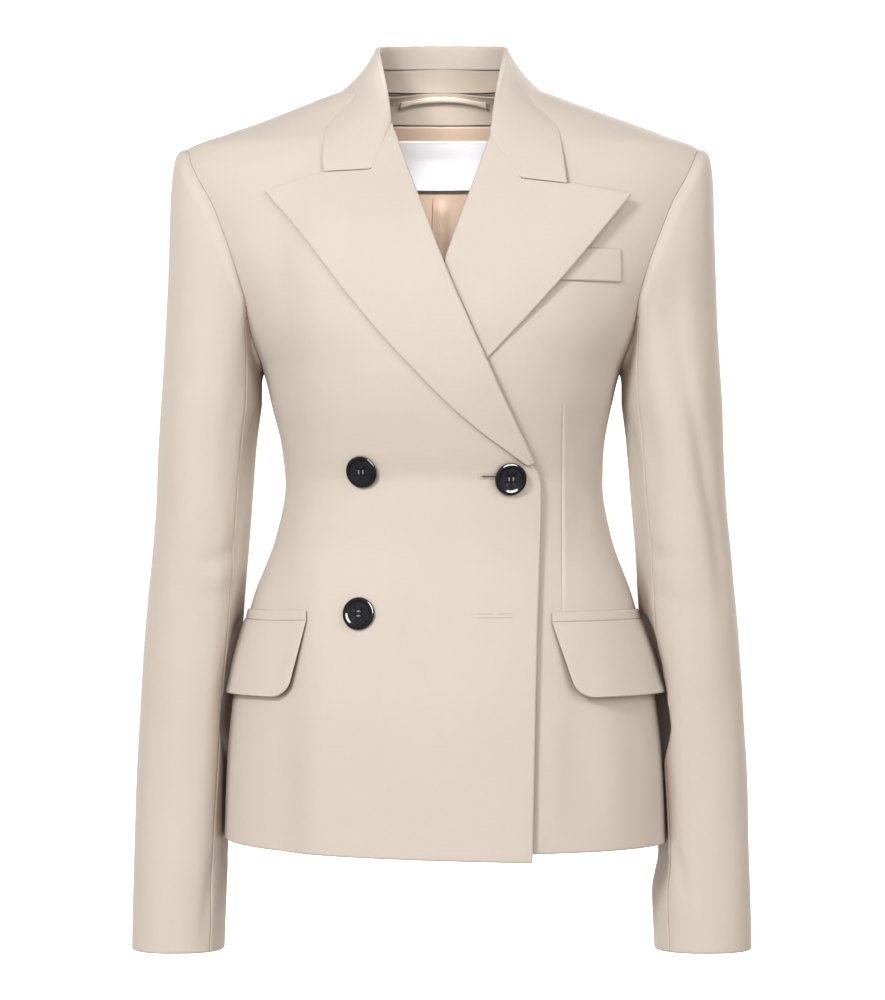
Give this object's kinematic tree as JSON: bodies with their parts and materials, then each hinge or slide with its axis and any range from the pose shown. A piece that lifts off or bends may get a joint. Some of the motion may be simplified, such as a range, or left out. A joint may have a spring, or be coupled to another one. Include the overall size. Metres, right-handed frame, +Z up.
{
  "type": "double breasted blazer",
  "caption": "Women's double breasted blazer, fitted waist, peak lapels, flap pockets and two-piece sleeves, filled out as if worn, with no wearer.",
  "frame": {"origin": "middle of the neck opening at the height of its base, where the wearer's neck and shoulders hold the garment up", "axes": "+Z up, the wearer faces -Y, +X towards the wearer's left"},
  "size_m": [0.496, 0.2493, 0.7296],
  "materials": {
    "suiting": "fine matte wool suiting, warm beige, with a faint diagonal weave",
    "satin_lining": "smooth peach satin",
    "woven_label": "blank white woven ribbon",
    "button_resin": "polished near-black resin with a raised rim"
  },
  "bodies": {
    "root": {"back_lining": "satin_lining", "back_neck_facing": "suiting", "breast_welt": "suiting", "collar": "suiting", "collar_stand": "suiting", "fastened_button": "button_resin", "hanger_loop": "suiting", "label": "woven_label", "left_back": "suiting", "left_front": "suiting", "left_lapel": "suiting", "left_pocket_flap": "suiting", "left_pocket_jet": "suiting", "left_top_sleeve": "suiting", "left_under_sleeve": "suiting", "lower_button": "button_resin", "right_back": "suiting", "right_front": "suiting", "right_lapel": "suiting", "right_pocket_flap": "suiting", "right_pocket_jet": "suiting", "right_top_sleeve": "suiting", "right_under_sleeve": "suiting", "upper_button": "button_resin"}
  },
  "joints": []
}
